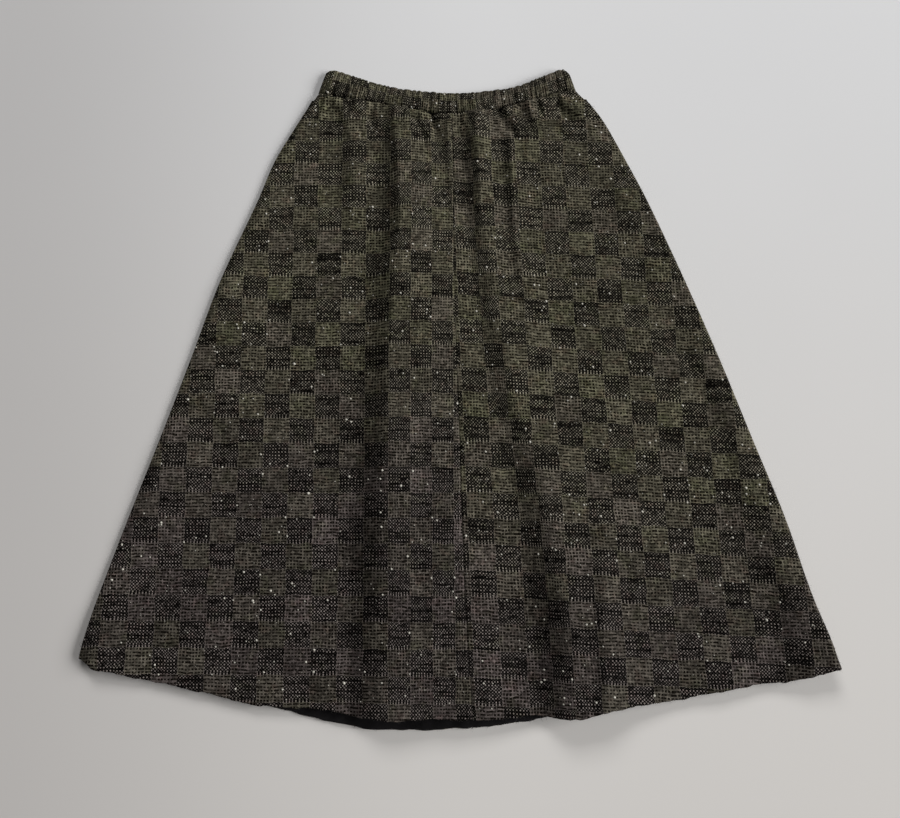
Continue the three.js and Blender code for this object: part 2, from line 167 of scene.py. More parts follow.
# The right side's soft swell, and the roll along its rim
SIDE_SWELL = [
    (350, 120, 40, 40, 1, 1.0),
    (189, 168, 70, 60, 2.5, 1.0),
    (11, 226, 90, 70, 3.0, 1.0),
    (-192, 286, 100, 80, 2.5, 1.0),
    (-390, 318, 100, 80, 1.5, 1.0),
]
RIM_FOLD = [
    (350, 166, 56, 12, 3.0, 1.1),
    (328, 172, 50, 14, 3.8, 1.1),
    (294, 190, 30, 18, 3.6, 1.1),
    (254, 203, 30, 24, 4.0, 1.1),
    (201, 222, 32, 28, 3.2, 1.1),
    (149, 242, 34, 30, 2.8, 1.1),
    (98, 264, 34, 30, 3.0, 1.1),
    (35, 301, 36, 30, 4.6, 1.1),
    (-73, 338, 36, 30, 6.0, 1.1),
    (-126, 354, 40, 30, 6.5, 1.1),
    (-226, 381, 44, 30, 7.0, 1.1),
    (-300, 396, 44, 30, 5.0, 1.1),
    (-390, 404, 44, 30, 3.0, 1.1),
]
LOW_FOLD = [
    (-146, 170, 14, 30, 0.0, 1.0),
    (-204, 168, 15, 32, 2.4, 1.0),
    (-261, 166, 16, 34, 4.2, 1.0),
    (-317, 165, 16, 36, 4.8, 1.0),
    (-390, 163, 16, 36, 5.0, 1.0),
]
# y, and how far the left and the right side round over to their rims
RIMS = [(395, 8, 24), (150, 9, 24), (-150, 13, 24), (-390, 24, 24)]
# y, and how high the left side stands above the rest of the cloth beside its rim
SHOULDER = [(395, 0.4), (150, 1.2), (-150, 2.2), (-390, 2.0)]
SHOULDER_REACH = 90.0
HEM_PUFF, HEM_PUFF_REACH = 4.0, 120.0
WAIST_PUFF, WAIST_PUFF_REACH = 1.6, 45.0
LEFT_LIFT, RIGHT_LIFT = 1.6, 7.0  # how far the two corners of the hem rise
CORNER_ACROSS, CORNER_UP, CORNER_LEVEL = 90.0, 125.0, -330.0

# Creases: from (x, y) to (x, y), width, and height, below 0 for a trough
CREASES = [
    (-36, 354, -24, 312, 4.2, -4.6),
    (-53, 338, -40, 308, 3.8, -3.6),
    (10, 348, 22, 318, 4.0, -2.4),
    (50, 356, 72, 312, 5.5, -5.0),
    (80, 356, 98, 318, 5.5, -5.0),
    (104, 358, 112, 332, 4.5, -3.0),
    (123, 364, 146, 334, 6.0, -5.0),
    (-166, 360, -150, 330, 6.5, -4.6),
    (-140, 358, -128, 338, 5.0, -3.2),
    (-112, 352, -104, 322, 4.4, -2.6),
    (137, 376, 155, 366, 4.0, -1.6),
    (-150, 366, -132, 360, 4.5, -2.6),
    (-168, 352, -148, 338, 6.0, -1.6),
    (-128, 350, -136, 318, 4.0, -1.2),
    (-172, 340, -206, 292, 10.0, -1.0),
    (172, 294, 226, 226, 9.0, -1.5),
    (-205, 150, -238, 20, 26.0, -1.3),
    (-270, -60, -300, -240, 30.0, -1.4),
    (-180, -120, -196, -330, 24.0, 1.2),
    (215, 60, 232, -120, 22.0, -1.0),
    (31, -230, 33, -385, 16.0, 1.8),
    (-44, -40, -43, -350, 9.0, -1.3),
    (240, -230, 262, -360, 20.0, -1.1),
    (-330, -270, -392, -318, 16.0, -2.0),
]

rng = np.random.default_rng(7)


# ------------ curves and fields
def smoothstep(x, low, high):
    t = np.clip((np.asarray(x, float) - low) / (high - low), 0.0, 1.0)
    return t * t * (3.0 - 2.0 * t)


def lerp(a, b, t):
    return a + (b - a) * t


def through(rows, along, read):
    """A smooth curve through a table's rows, as a function of one of its columns."""
    rows = sorted(rows, key=lambda row: row[along])
    xs = np.array([row[along] for row in rows], float)
    ys = np.array([row[read] for row in rows], float)
    slopes = np.gradient(ys, xs)
    slopes[1:-1] = (ys[2:] - ys[:-2]) / (xs[2:] - xs[:-2])

    def curve(at):
        at = np.clip(at, xs[0], xs[-1])
        i = np.clip(np.searchsorted(xs, at) - 1, 0, len(xs) - 2)
        width = xs[i + 1] - xs[i]
        t = (at - xs[i]) / width
        a, b = t * t * (3 - 2 * t), t * (1 - t)
        return lerp(ys[i], ys[i + 1], a) + width * b * ((1 - t) * slopes[i] - t * slopes[i + 1])

    return curve


left_side, right_side, left_turn, right_turn = (through(SIDES, 0, i) for i in (1, 2, 3, 4))
left_shoulder = through(SHOULDER, 0, 1)
left_rim, right_rim = through(RIMS, 0, 1), through(RIMS, 0, 2)
waist_seam = through(WAIST_SEAM, 0, 1)
waist_edge = through(WAIST_EDGE, 0, 1)

HEM_WANDER = ((61, 0.5), (37, 0.35), (23, 0.3), (14.5, 0.25), (10.2, 0.2))  # lengths and heights
SCALLOPS = ((17.0, 0.8), (11.3, 0.6), (7.1, 0.4))  # along the waist seam: lengths and depths


def waves(x, table, phase):
    """A sum of sines; each starts at a phase of its own, worked out from its length."""
    return sum(
        height * np.sin(2 * math.pi * np.asarray(x) / length + phase * length) for length, height in table
    )


def uneven(curve, phase):
    """An edge with the small wander of a hand-pressed hem."""
    return lambda x: curve(x) + waves(x, HEM_WANDER, phase)


def seam_scallop(x):
    return waves(x, SCALLOPS, 1.0)


front_hem = uneven(through(FRONT_HEM, 0, 1), 1.0)
back_hem = uneven(through(BACK_HEM, 0, 1), 2.3)
centre_seam = through(CENTRE_SEAM, 0, 1)


def fold_rise(table):
    """The height that a table's fold adds at a point."""
    crest, flank, slope, height, lean = (through(table, 0, i) for i in (1, 2, 3, 4, 5))

    def rise(x, y):
        c = crest(y)
        up = np.clip((x - c + flank(y)) / flank(y), 0, 1) ** lean(y)
        left = smoothstep(up, 0, 1)
        down = np.clip((x - c) / slope(y), 0, 1)
        right = 1 - lerp(down, smoothstep(down, 0, 1), 0.5)
        return height(y) * np.where(x < c, left, right)

    return rise


FOLD_TABLES = (
    LEFT_FOLD, RIGHT_FOLD, SEAM_FOLD, THIN_FOLD, BAND_FOLD, TOP_FOLD, SIDE_SWELL, RIM_FOLD, LOW_FOLD,
)
FOLDS = [fold_rise(table) for table in FOLD_TABLES]


def crease_field(x, y):
    """The listed creases: each fades at both ends and is rounded across."""
    total = np.zeros_like(x)
    for x0, y0, x1, y1, width, height in CREASES:
        dx, dy = x1 - x0, y1 - y0
        long = math.hypot(dx, dy)
        along = ((x - x0) * dx + (y - y0) * dy) / long
        off = ((x - x0) * dy - (y - y0) * dx) / long
        start = smoothstep(along, -width, width * 1.5)
        stop = smoothstep(along, long - width * 1.5, long + width)
        total += height * (start * (1 - stop)) * np.exp(-((off / width) ** 2))
    return total


LIE = [  # soft unevenness in how the cloth lies: waves per metre across and along, phase, height in mm
    (7.1, 2.3, 0.4, 0.55), (-4.6, 5.2, 2.1, 0.5), (11.7, -3.4, 4.0, 0.3),
    (3.2, 8.9, 1.3, 0.3), (16.3, 6.1, 5.2, 0.16), (-13.9, 12.7, 0.9, 0.14),
]


def lie_field(x, y):
    total = np.zeros_like(x)
    for across, along, phase, height in LIE:
        total += height * np.sin(2 * math.pi * MM * (across * x + along * y) + phase)
    return total


def corner_lift(x, y):
    """The rise of both layers towards the two corners of the hem."""
    left = LEFT_LIFT * (1 - smoothstep(x - left_side(y), 0, CORNER_ACROSS))
    right = RIGHT_LIFT * (1 - smoothstep(right_side(y) - x, 0, CORNER_ACROSS))
    return (left + right) * (1 - smoothstep(y, CORNER_LEVEL, CORNER_LEVEL + CORNER_UP))


GATHERS = 40  # under the waist seam, unevenly spaced
GATHERS_FROM, GATHERS_TO = -176, 150
GATHER_WIDTH = 3.0
GATHER_FAN = 0.0022  # how much the gathers spread, as a share for each mm below the seam
GATHER_ZONE = 90.0  # past which they have all died out
gather_steps = np.cumsum(0.45 + rng.random(GATHERS))
gather_steps = (gather_steps - gather_steps[0]) / np.ptp(gather_steps)
gather_places = lerp(GATHERS_FROM, GATHERS_TO, gather_steps)
gather_reach = 14 + 46 * rng.random(GATHERS) ** 2
gather_height = 0.6 + 2.6 * rng.random(GATHERS) ** 1.5


def gather_field(x, y):
    """Small pleats that run down from the waist seam and fan out with the flare."""
    below = np.maximum(waist_seam(x) - y, 0.0)
    total = np.zeros_like(x)
    near = below < GATHER_ZONE
    xn, bn = x[near], below[near]
    part = np.zeros_like(xn)
    for place, reach, height in zip(gather_places, gather_reach, gather_height):
        centre = place * (1 + bn * GATHER_FAN)
        part += height * np.exp(-(((xn - centre) / GATHER_WIDTH) ** 2)) * np.exp(-((bn / reach) ** 2))
    total[near] = part
    return total


def front_field(x, y):
    """The height of the front's outer face, away from its rims."""
    hem_puff = HEM_PUFF * (1 - smoothstep(y - front_hem(x), 0, HEM_PUFF_REACH))
    waist_puff = WAIST_PUFF * smoothstep(y - waist_seam(x), -WAIST_PUFF_REACH, 0)
    folds = sum(rise(x, y) for rise in FOLDS)
    fine = crease_field(x, y + seam_scallop(x)) + lie_field(x, y)
    shoulder = left_shoulder(y) * (1 - smoothstep(x - left_side(y), 0, SHOULDER_REACH))
    return FRONT_TOP + STAND_OFF + hem_puff + waist_puff + folds + fine + shoulder + gather_field(x, y)


# ------------ grids
def grid_lines(line_x, edge):
    """The level where each line down the cloth, x = line_x(y), meets an edge, y = edge(x)."""
    y = edge(line_x(np.zeros(1)))
    for _ in range(8):
        y = edge(line_x(y))
    return y


def normals_of(grid):
    right = np.gradient(grid, axis=1)
    down = np.gradient(grid, axis=0)
    normal = np.cross(down, right)
    return normal / np.linalg.norm(normal, axis=2, keepdims=True)


ROUND_STEPS = 6


def hem_loop(outer, thickness):
    """Rows down the outer face, round the folded hem and back up the inner face."""
    normal = normals_of(outer)
    inner = outer - normal * thickness[:, :, None]
    out = outer[-1] - outer[-2]
    out /= np.linalg.norm(out, axis=1, keepdims=True)
    centre = (outer[-1] + inner[-1]) / 2
    radius = (thickness[-1] / 2)[:, None]
    turn = []
    for k in range(1, ROUND_STEPS):
        angle = math.pi * k / ROUND_STEPS
        turn.append(centre + radius * (normal[-1] * math.cos(angle) + out * math.sin(angle)))
    return np.concatenate([outer, np.array(turn), inner[::-1]])


def build_mesh(name, points, faces, uvs=None, shades=None):
    """An object from points in the tables' millimetres, kept on or above the surface that it lies on."""
    placed = np.asarray(points) + TO_FRAME
    placed[:, 2] = np.maximum(placed[:, 2], 0.0)
    mesh = bpy.data.meshes.new(name)
    mesh.vertices.add(len(points))
    mesh.vertices.foreach_set("co", (placed * MM).astype(np.float32).ravel())
    faces = np.asarray(faces, np.int32)
    size = faces.shape[1]
    mesh.loops.add(faces.size)
    mesh.loops.foreach_set("vertex_index", faces.ravel())
    mesh.polygons.add(len(faces))
    mesh.polygons.foreach_set("loop_start", np.arange(0, faces.size, size, dtype=np.int32))
    mesh.polygons.foreach_set("use_smooth", np.ones(len(faces), bool))
    if uvs is not None:
        layer = mesh.uv_layers.new(name="cloth")
        layer.data.foreach_set("uv", np.asarray(uvs)[faces.ravel()].astype(np.float32).ravel())
    if shades is not None:
        layer = mesh.color_attributes.new(name="shade", type="FLOAT_COLOR", domain="POINT")
        layer.data.foreach_set("color", np.asarray(shades, np.float32).ravel())
    mesh.update()
    mesh.validate()
    piece = bpy.data.objects.new(name, mesh)
    bpy.context.scene.collection.objects.link(piece)
    return piece


def closed_shell(name, loop, uv):
    """A closed shell from rows that run round the cloth's section; row r faces row last - r."""
    rows, columns = loop.shape[:2]
    index = np.arange(rows * columns).reshape(rows, columns)
    below = np.roll(index, -1, axis=0)
    faces = [
        np.stack([index[:, :-1], below[:, :-1], below[:, 1:], index[:, 1:]], axis=2).reshape(-1, 4)
    ]
    half = rows // 2
    for column, flip in ((0, False), (columns - 1, True)):
        a = index[: half - 1, column]
        b = index[1:half, column]
        c = index[::-1][1:half, column]
        d = index[::-1][: half - 1, column]
        quads = np.stack([a, d, c, b], axis=1)
        faces.append(quads[:, ::-1] if flip else quads)
    return build_mesh(name, loop.reshape(-1, 3), np.concatenate(faces), uv.reshape(-1, 2))


# ------------ the check, in blocks, on each panel
def check_map(origin, across, up):
    """Block coordinates on a panel: its zero, and the steps to the next block across and up."""
    origin = np.array(origin, float)
    inverse = np.linalg.inv(np.array([across, up], float).T)

    def blocks(x, y):
        d = np.stack([x - origin[0], y - origin[1]], axis=-1)
        return d @ inverse.T

    return blocks


# The check's zero and steps on each part of the cloth
left_check = check_map((-232.3, 41.2), (30.0, -0.2), (-0.3, 29.65))
right_check = check_map((240.2, -117.4), (30.36, -1.34), (-1.2, 30.0))
back_check = check_map((-12.0, 4.0), (30.0, 0.4), (0.5, 30.0))

left_crest = through(LEFT_FOLD, 0, 1)
right_crest, right_flank = through(RIGHT_FOLD, 0, 1), through(RIGHT_FOLD, 0, 2)
PAST_CREST = CHECK / 25.45  # cloth for each mm across, between the left fold and the seam
BEFORE_CREST = 5.0  # how far before the left fold's crest that starts
IN_RIGHT_FOLD = 11.0  # cloth that the right fold takes up


def left_blocks_at(x, y):
    """Block coordinates on the left half of the front, with the cloth that the left fold takes up."""
    past = np.maximum(x - left_crest(y) + BEFORE_CREST, 0.0)
    return left_check(x + (PAST_CREST - 1) * past, y)


def right_blocks_at(x, y):
    """Block coordinates on the right half of the front, with the cloth that the right fold takes up."""
    taken = IN_RIGHT_FOLD * (1 - smoothstep((x - right_crest(y)) / right_flank(y), -1, 0))
    return right_check(x - taken, y)


# The first grid lines of a panel: their distances from the centre seam and from the waist seam
NEAR_SEAM = np.array([0.0, 0.35, 0.8, 1.4, 2.2, 3.3, 5.0])
NEAR_TOP = np.array([0.0, 0.7, 1.4, 2.2, 3.2, 4.6, 6.6])
ARC_STEPS = 12
FRONT_COLUMNS, FRONT_ROWS = 150, 230
BACK_COLUMNS, BACK_ROWS = 60, 130
SEAM_DIP, SEAM_DIP_WIDTH = 0.9, 1.3  # how the cloth sinks into the centre seam
TOP_DIP, TOP_DIP_WIDTH = 1.6, 2.0  # and into the waist seam


def panel_grid(side, start_line, columns, rows, check, height, hem, dip):
    """Outer points and block coordinates of a panel, from its start line out and round the side's turn."""
    side_line, turn, outward = side
    lines = []
    for near in NEAR_SEAM:
        lines.append((lambda y, near=near: start_line(y) + outward * near, 0.0))
    for share in np.linspace(0, 1, columns + 1)[1:]:
        lines.append((
            lambda y, s=share: lerp(
                start_line(y) + outward * NEAR_SEAM[-1],
                side_line(y) - outward * turn(y),
                s,
            ),
            0.0,
        ))
    for k in range(1, ARC_STEPS + 1):
        angle = math.pi / 2 * k / ARC_STEPS
        lines.append((
            lambda y, s=math.sin(angle): side_line(y) - outward * turn(y) * (1 - s),
            angle,
        ))
    ys, xs, angles = [], [], []
    row_share = np.linspace(0, 1, rows + 1)[1:]
    for line, angle in lines:
        top = grid_lines(line, waist_seam)[0] - SEAM_GAP
        low = grid_lines(line, hem)[0] + HEM_THICK / 2
        y = np.concatenate([top - NEAR_TOP, lerp(top - NEAR_TOP[-1], low, row_share)])
        ys.append(y)
        xs.append(line(y))
        angles.append(np.full_like(y, angle))
    x, y, angle = (np.array(part).T for part in (xs, ys, angles))
    radius = turn(y)
    turned_x = np.where(angle > 0, side_line(y) - outward * radius, x)
    blocks = check(turned_x + outward * radius * angle, y)
    z = height(x, y, angle, radius, outward * (side_line(y) - x))
    from_top = waist_seam(x) - y
    z = z - TOP_DIP * np.exp(-((from_top / TOP_DIP_WIDTH) ** 2)) * (angle == 0)
    if dip:
        from_start = outward * (x - start_line(y))
        z = z - SEAM_DIP * np.exp(-((from_start / SEAM_DIP_WIDTH) ** 2)) * (angle == 0)
    return np.stack([x, y, z], axis=2), blocks


def ease_in_out(t):
    return smoothstep(t, 0, 1)


def ease_out(t):
    return np.sin(math.pi / 2 * np.clip(t, 0, 1))


def front_height(rim, ease):
    """The front's height, which comes down over its rim to the turn at the side."""

    def height(x, y, angle, radius, inward):
        turned = 1 - ease((inward - radius) / rim(y))
        flat = lerp(front_field(x, y), 2 * radius, turned)
        round_side = radius * (1 + np.cos(angle)) + LAYER_GAP / 2 * np.sin(angle)
        return corner_lift(x, y) + np.where(angle > 0, round_side, flat)

    return height


def hem_thickness(outer):
    """Each layer of the cloth, doubled over the hem allowance."""
    from_hem = np.cumsum(np.linalg.norm(np.diff(outer, axis=0)[::-1], axis=2), axis=0)[::-1]
    from_hem = np.concatenate([from_hem, np.zeros_like(from_hem[:1])])
    return lerp(HEM_THICK, SHELL, smoothstep(from_hem, HEM_ALLOWANCE - 3, HEM_ALLOWANCE))


def loop_uv(blocks, loop):
    """The same block coordinates on both faces, and carried round the hem's turn."""
    rows = blocks.shape[0]
    turn = np.repeat(blocks[-1:], loop.shape[0] - 2 * rows, axis=0)
    turn[:, :, 1] -= (np.arange(1, turn.shape[0] + 1) * 0.02)[:, None]
    return np.concatenate([blocks, turn, blocks[::-1]])


def layer_level(x, y):
    """Where front and back meet: over the back's upper face, and at a side half way up its turn."""
    at_left, at_right = x - left_side(y), right_side(y) - x
    level = np.where(at_left < left_turn(y), left_turn(y), SHELL)
    return corner_lift(x, y) + np.where(at_right < right_turn(y), right_turn(y), level)


def around(face, loop):
    """Values on a cloth's face, carried round its hem's turn and back."""
    turn = np.repeat(face[-1:], loop.shape[0] - 2 * face.shape[0], axis=0)
    return np.concatenate([face, turn, face[::-1]])


# Each side: its line, the radius of its turn and the way out
LEFT = (left_side, left_turn, -1)
RIGHT = (right_side, right_turn, 1)


def front_half(name, node, side, rim, ease, check):
    """One half of the front: a shell from the centre seam to its side."""
    side_line, turn, outward = side
    outer, blocks = panel_grid(
        side,
        lambda y: centre_seam(y) + outward * LAYER_GAP / 2,
        FRONT_COLUMNS,
        FRONT_ROWS,
        check,
        front_height(rim, ease),
        front_hem,
        True,
    )
    if outward < 0:
        outer, blocks = outer[:, ::-1], blocks[:, ::-1]
    loop = hem_loop(outer, hem_thickness(outer))
    x, y = outer[:, :, 0], outer[:, :, 1]
    least = layer_level(x, y) + LAYER_GAP / 2
    loop[:, :, 2] = np.maximum(loop[:, :, 2], around(least, loop))
    inside_turn = outward * (side_line(y) - x) > turn(y)
    top = loop[: outer.shape[0], :, 2]
    top[:] = np.maximum(top, least + THINNEST * inside_turn)
    piece = closed_shell(name, loop, loop_uv(blocks, loop))
    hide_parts(node)
    return piece, outer


front_left, left_grid = front_half(
    "front_cloth_left", "front_panel_left", LEFT, left_rim, ease_out, left_blocks_at
)
front_right, right_grid = front_half(
    "front_cloth_right", "front_panel_right", RIGHT, right_rim, ease_in_out, right_blocks_at
)


# ------------ the back, face down
def back_half_grid(side):
    """The back's outer face, on the surface it lies on, from under the centre seam to one side."""

    def height(x, y, angle, radius, inward):
        turned = radius * (1 - np.cos(angle)) - LAYER_GAP / 2 * np.sin(angle)
        return corner_lift(x, y) + turned

    grid, blocks = panel_grid(
        side, centre_seam, BACK_COLUMNS, BACK_ROWS, back_check, height, back_hem, False
    )
    grid[:, :, 2] = np.maximum(grid[:, :, 2], 0.0)
    return grid, blocks


def back_cloth():
    """The back in one piece: both halves of its grid, joined under the centre seam."""
    left, left_uv = back_half_grid(LEFT)
    right, right_uv = back_half_grid(RIGHT)
    outer = np.concatenate([right[:, ::-1], left[:, 1:]], axis=1)
    blocks = np.concatenate([right_uv[:, ::-1], left_uv[:, 1:]], axis=1)
    loop = hem_loop(outer, np.full(outer.shape[:2], SHELL))
    most = layer_level(outer[:, :, 0], outer[:, :, 1]) - LAYER_GAP / 2
    loop[:, :, 2] = np.minimum(loop[:, :, 2], around(most, loop))
    piece = closed_shell("back_cloth", loop, loop_uv(blocks, loop))
    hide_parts("back_panel")
    return piece, outer


back, back_grid = back_cloth()


# ------------ the gathered casing at the waist
CASING_LEFT, CASING_RIGHT = -177.5, 150.5
CASING_LENGTH, CASING_END = 330.0, 9.0  # the length of the casing, and of each of its rounded ends
CASING_LOW, CASING_HIGH = 0.3, 0.9  # how far inside the waist seam and the top edge it starts and stops
CASING_COLUMNS = 460
CASING_ROWS = 22
CASING_RIPPLES = 44
GATHERED_IN = 1.28  # cloth for each mm along the casing
CASING_BLOCKS_FROM = 20.0
RIPPLE_HEIGHT = 1.7
TOP_SCALLOP, LOW_SCALLOP = 1.1, 0.9  # how far the ruching pushes each edge out and in
STITCH_AT, STITCH_WIDTH, STITCH_DEPTH = 0.84, 0.05, 0.5  # the row of stitching near the top edge
CASING_WALL = 1.4
THINNEST_CASING = 0.25
ripple_starts = np.cumsum(0.4 + 1.4 * rng.random(CASING_RIPPLES + 1) ** 1.4)
ripple_starts = (ripple_starts - ripple_starts[0]) / np.ptp(ripple_starts)
ripple_size = 0.55 + 0.9 * rng.random(CASING_RIPPLES + 1)


def ripple(share):
    """Uneven ruching along the casing, 0 in the creases and about 1 on the ridges."""
    i = np.clip(np.searchsorted(ripple_starts, share, side="right") - 1, 0, CASING_RIPPLES - 1)
    t = (share - ripple_starts[i]) / (ripple_starts[i + 1] - ripple_starts[i])
    return np.sin(math.pi * np.clip(t, 0, 1)) ** 0.7 * ripple_size[i]


def casing_half(name, node, upward):
    """One half of the casing: its front with upward 1, its back with upward -1."""
    share = np.linspace(0, 1, CASING_COLUMNS + 1)[None, :]
    up = 0.5 - 0.5 * np.cos(np.linspace(0, math.pi, CASING_ROWS + 1))[:, None]
    low = lerp(CASING_LEFT, CASING_RIGHT, share)
    high = lerp(WAIST_EDGE[0][0], WAIST_EDGE[-1][0], share)
    drift = 0.004 * np.sin(9 * share + 3 * up)
    folds = ripple(np.clip(share + drift, 0, 1))
    x = lerp(low, high, up)
    y = lerp(waist_seam(low) + CASING_LOW, waist_edge(high) - CASING_HIGH, up)
    at_top, at_seam = smoothstep(up, 0.7, 1), 1 - smoothstep(up, 0, 0.25)
    y = y + (folds - 0.6) * (TOP_SCALLOP * at_top - LOW_SCALLOP * at_seam)
    y = np.maximum(y, waist_seam(x) - 0.1)
    ends = smoothstep(np.minimum(share, 1 - share) * CASING_LENGTH, 0, CASING_END)
    section = np.sqrt(np.clip(1 - (2 * up - 1) ** 4, 0, 1))
    meeting = CASING + SEAM_GAP / 2 + upward * LAYER_GAP / 2
    full = CASING * section * lerp(0.3, 1, ends)
    ruched = RIPPLE_HEIGHT * (folds - 0.5) * section ** 1.5 * lerp(0.4, 1, ends)
    dent = -STITCH_DEPTH * np.exp(-(((up - STITCH_AT) / STITCH_WIDTH) ** 2))
    thick = np.maximum(full + ruched + dent * ends, THINNEST_CASING)
    if upward < 0:
        thick = np.minimum(np.maximum(full + 0.5 * ruched, THINNEST_CASING), meeting)
    inside = np.maximum(thick - CASING_WALL, 0.02)
    outer, inner = (np.stack([x, y, meeting + upward * part], axis=2) for part in (thick, inside))
    across = low * GATHERED_IN / CHECK + CASING_BLOCKS_FROM + 0 * up
    blocks = np.stack([up * 1.05 + 0.4 + 0 * share, across], axis=2)
    outer, inner, blocks = outer[::-1], inner[::-1], blocks[::-1]
    if upward < 0:
        outer, inner, blocks = outer[:, ::-1], inner[:, ::-1], blocks[:, ::-1]
    loop = np.concatenate([outer, inner[::-1]])
    piece = closed_shell(name, loop, np.concatenate([blocks, blocks[::-1]]))
    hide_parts(node)
    return piece, outer


waist_front, casing_grid = casing_half("waist_casing_front", "waistband_front", 1)
waist_back, _ = casing_half("waist_casing_back", "waistband_back", -1)

# ------------ the black facing inside the back hem
FACING_LEFT, FACING_RIGHT = -232.0, 128.0
FACING_WIDTH, FACING_EDGE, FACING_THICK = 42.0, 2.2, 0.9
FACING_LIFT = 0.5  # off the back's upper face
FACING_RIPPLE, FACING_WAVE = 0.22, 0.25  # heights of its short and its long waves


def hem_facing():
    """A smooth strip along the back hem, with a slight ripple."""
    x = np.linspace(FACING_LEFT, FACING_RIGHT, 241)[None, :]
    down = np.linspace(0, 1, 25)[:, None]
    low = back_hem(x) + FACING_EDGE
    y = low + FACING_WIDTH * (1 - down)
    short = FACING_RIPPLE * np.sin(x * 0.21 + 2.2 * np.sin(x * 0.05)) * smoothstep(down, 0.2, 0.9)
    z = SHELL + FACING_LIFT + FACING_THICK + short + FACING_WAVE * np.sin(x * 0.047 + 1.0)
    outer = np.stack([x + 0 * down, y, z], axis=2)
    loop = hem_loop(outer, np.full(outer.shape[:2], FACING_THICK))
    piece = closed_shell("hem_facing_cloth", loop, loop[:, :, :2] / CHECK)
    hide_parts("back_hem_facing")
    return piece


facing = hem_facing()


# ------------ materials
class Tree:
    """Short names for building a material's nodes."""

    def __init__(self, name):
        self.material = bpy.data.materials.new(name)
        self.material.use_nodes = True
        self.nodes = self.material.node_tree.nodes
        self.links = self.material.node_tree.links
        self.shader = self.nodes["Principled BSDF"]

    def put(self, socket, value):
        if isinstance(value, bpy.types.NodeSocket):
            self.links.new(value, socket)
        else:
            socket.default_value = value

    def fill(self, node, values, sockets):
        """Values for the inputs of a node that sockets names, by number or by name."""
        for socket, value in zip(sockets, values):
            self.put(node.inputs[socket], value)

    def math(self, operation, *values):
        node = self.nodes.new("ShaderNodeMath")
        node.operation = operation
        self.fill(node, values, range(3))
        return node.outputs[0]

    def mul(self, a, b):
        return self.math("MULTIPLY", a, b)

    def add(self, a, b):
        return self.math("ADD", a, b)

    def wave(self, value):
        """Cosine of one turn for each unit of value."""
        return self.math("COSINE", self.mul(value, 2 * math.pi))

    def ramp(self, value, low, high, to_low=0.0, to_high=1.0, smooth=True):
        node = self.nodes.new("ShaderNodeMapRange")
        node.interpolation_type = "SMOOTHSTEP" if smooth else "LINEAR"
        self.fill(node, (value, low, high, to_low, to_high), range(5))
        return node.outputs[0]

    def mix(self, factor, a, b):
        node = self.nodes.new("ShaderNodeMix")
        node.data_type = "FLOAT"
        self.fill(node, (factor, a, b), (0, 2, 3))
        return node.outputs[0]

    def mix_colour(self, factor, a, b, blend="MIX"):
        node = self.nodes.new("ShaderNodeMix")
        node.data_type = "RGBA"
        node.blend_type = blend
        self.fill(node, (factor, a, b), (0, 6, 7))
        return node.outputs[2]

    def scaled(self, colour, value):
        return self.mix_colour(1.0, colour, self.point(value, value, value), "MULTIPLY")

    def point(self, x, y, z=0.0):
        node = self.nodes.new("ShaderNodeCombineXYZ")
        self.fill(node, (x, y, z), range(3))
        return node.outputs[0]

    def noise(self, vector, scale, detail=2.0, roughness=0.5):
        node = self.nodes.new("ShaderNodeTexNoise")
        self.fill(node, (vector, scale, detail, roughness), ("Vector", "Scale", "Detail", "Roughness"))
        return node.outputs["Fac"]

    def chance(self, x, y, z):
        """A draw from 0 to 1 that is the same for the same x, y and z."""
        node = self.nodes.new("ShaderNodeTexWhiteNoise")
        node.noise_dimensions = "3D"
        self.put(node.inputs["Vector"], self.point(x, y, z))
        return node.outputs["Value"]

    def cloth_coordinates(self):
        uv = self.nodes.new("ShaderNodeUVMap")
        uv.uv_map = "cloth"
        split = self.nodes.new("ShaderNodeSeparateXYZ")
        self.links.new(uv.outputs[0], split.inputs[0])
        return uv.outputs[0], split.outputs[0], split.outputs[1]

    def bump(self, height, distance, strength=1.0):
        node = self.nodes.new("ShaderNodeBump")
        node.inputs["Strength"].default_value = strength
        node.inputs["Distance"].default_value = distance
        self.put(node.inputs["Height"], height)
        self.links.new(node.outputs[0], self.shader.inputs["Normal"])


THREADS = 8.0  # repeats of the weave in one block, each way
SWAY = 0.16  # how far the threads wander, in blocks
RIB = (0.101, 0.094, 0.073, 1)
RIB_OLIVE = (0.099, 0.095, 0.069, 1)
RIB_PLUM = (0.103, 0.092, 0.079, 1)
GAP = (0.008, 0.0065, 0.004, 1)
DOT = (0.325, 0.30, 0.25, 1)
GROUND = (0.0010, 0.0006, 0.0004, 1)
WARM_DYE, COOL_DYE = (1.05, 0.92, 0.92, 1), (0.95, 1.02, 0.88, 1)
# Painted light and shade: the cloth's colour is multiplied by a blend from the waist's tint, lighter and
# warmer, to the hem's, darker and cooler
WAIST_SHADE_TINT = (0.97, 0.96, 0.88, 1)
HEM_SHADE_TINT = (0.71, 0.665, 0.735, 1)
HEMWARD_FROM, HEMWARD_TO = 3.0, -8.0  # rows of the check over which the painted shade towards the hem comes in
